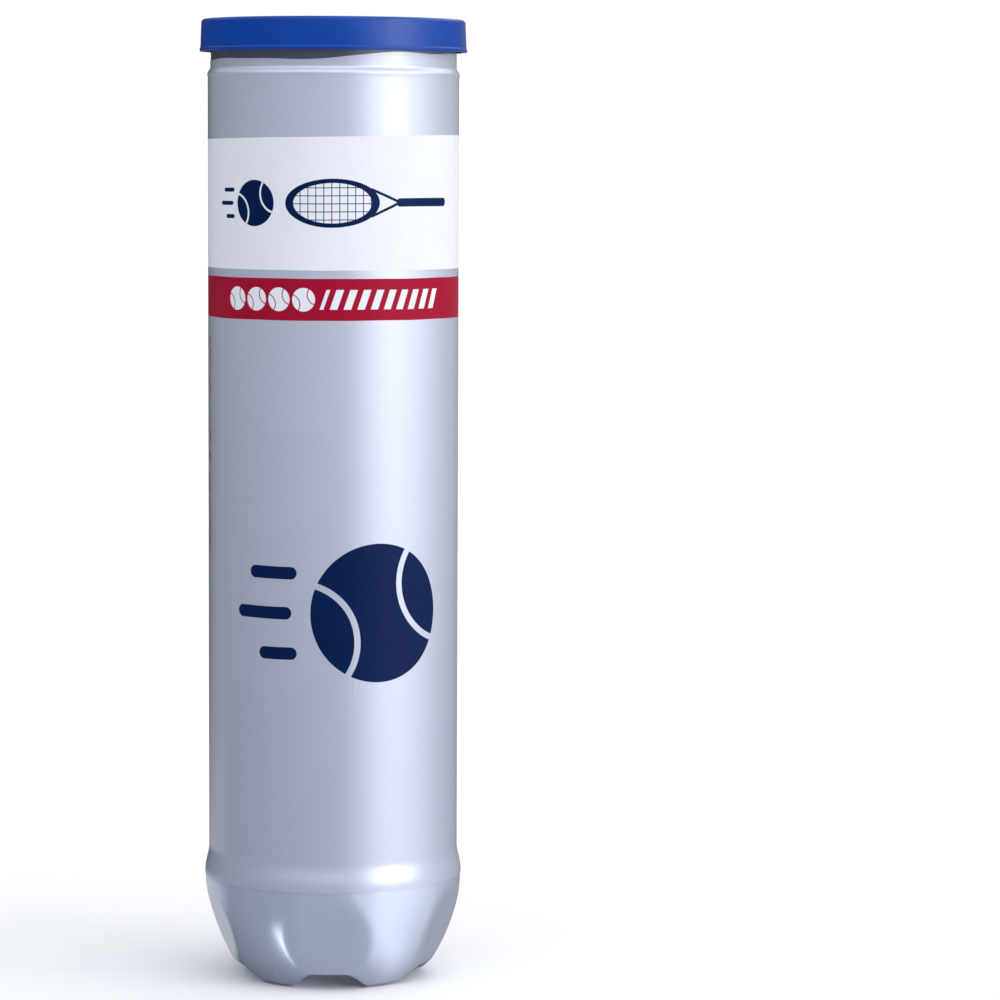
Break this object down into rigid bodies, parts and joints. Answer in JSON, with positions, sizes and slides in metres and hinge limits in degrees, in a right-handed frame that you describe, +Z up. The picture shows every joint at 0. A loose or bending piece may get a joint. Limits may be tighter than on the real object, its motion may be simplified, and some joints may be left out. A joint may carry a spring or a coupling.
{
  "type": "tennis ball can",
  "caption": "Tall plastic tennis ball can with a push-on lid, a tear-off metal end with a ring tab, a printed sleeve and felt-covered balls stacked inside.",
  "frame": {"origin": "on the can's axis, in the plane of its feet", "axes": "+Z up along the can's axis towards the lid, -Y out of the printed front, +X to the right when looking at the front"},
  "size_m": [0.079, 0.079, 0.2845],
  "materials": {
    "bottle_plastic": "silver-tinted blow-moulded polyester, smooth and glossy",
    "sleeve_film": "shrunk film printed in metallic silver with a white and a red band, glossy",
    "end_metal": "bright lacquered sheet",
    "seam_rubber": "matt sealing compound",
    "panel_metal": "lacquered sheet with a fine rolling grain",
    "tab_metal": "folded sheet, satin",
    "lid_plastic": "blue moulded polyethylene, satin with a fine grain",
    "ball_rubber": "matt moulded rubber",
    "ball_felt": "yellow-green wool and nylon felt",
    "ball_seam": "matt white rubber"
  },
  "bodies": {
    "can": {"can_body": "bottle_plastic", "shrink_sleeve": "sleeve_film", "end_ring": "end_metal", "seam_compound": "seam_rubber"},
    "ball_1": {"ball_1_core_lower": "ball_rubber", "ball_1_core_upper": "ball_rubber", "ball_1_felt_a": "ball_felt", "ball_1_felt_b": "ball_felt", "ball_1_seam": "ball_seam"},
    "ball_2": {"ball_2_core_lower": "ball_rubber", "ball_2_core_upper": "ball_rubber", "ball_2_felt_a": "ball_felt", "ball_2_felt_b": "ball_felt", "ball_2_seam": "ball_seam"},
    "ball_3": {"ball_3_core_lower": "ball_rubber", "ball_3_core_upper": "ball_rubber", "ball_3_felt_a": "ball_felt", "ball_3_felt_b": "ball_felt", "ball_3_seam": "ball_seam"},
    "ball_4": {"ball_4_core_lower": "ball_rubber", "ball_4_core_upper": "ball_rubber", "ball_4_felt_a": "ball_felt", "ball_4_felt_b": "ball_felt", "ball_4_seam": "ball_seam"},
    "panel": {"tear_panel": "panel_metal", "tab_tongue": "tab_metal"},
    "tab": {"pull_tab": "tab_metal"},
    "lid": {"snap_lid": "lid_plastic"}
  },
  "joints": [
    {"name": "ball_1_lift", "type": "slide", "parent": "can", "child": "ball_1", "axis": [0, 0, 1], "range_m": [0, 0.285]},
    {"name": "ball_2_lift", "type": "slide", "parent": "ball_1", "child": "ball_2", "axis": [0, 0, 1], "range_m": [0, 0.215]},
    {"name": "ball_3_lift", "type": "slide", "parent": "ball_2", "child": "ball_3", "axis": [0, 0, 1], "range_m": [0, 0.15]},
    {"name": "ball_4_lift", "type": "slide", "parent": "ball_3", "child": "ball_4", "axis": [0, 0, 1], "range_m": [0, 0.085]},
    {"name": "panel_lift", "type": "slide", "parent": "ball_4", "child": "panel", "axis": [0, 0, 1], "range_m": [0, 0.03]},
    {"name": "lid_lift", "type": "slide", "parent": "panel", "child": "lid", "axis": [0, 0, 1], "range_m": [0, 0.06]},
    {"name": "tab_pull", "type": "hinge", "parent": "panel", "child": "tab", "pos_m": [0, -0.0306, 0.2785], "axis": [1, 0, 0], "range_deg": [0, 96]}
  ],
  "couplings": [
    {"joint": "tab_pull", "follows": "lid_lift", "rad_per_m": 27.5}
  ]
}
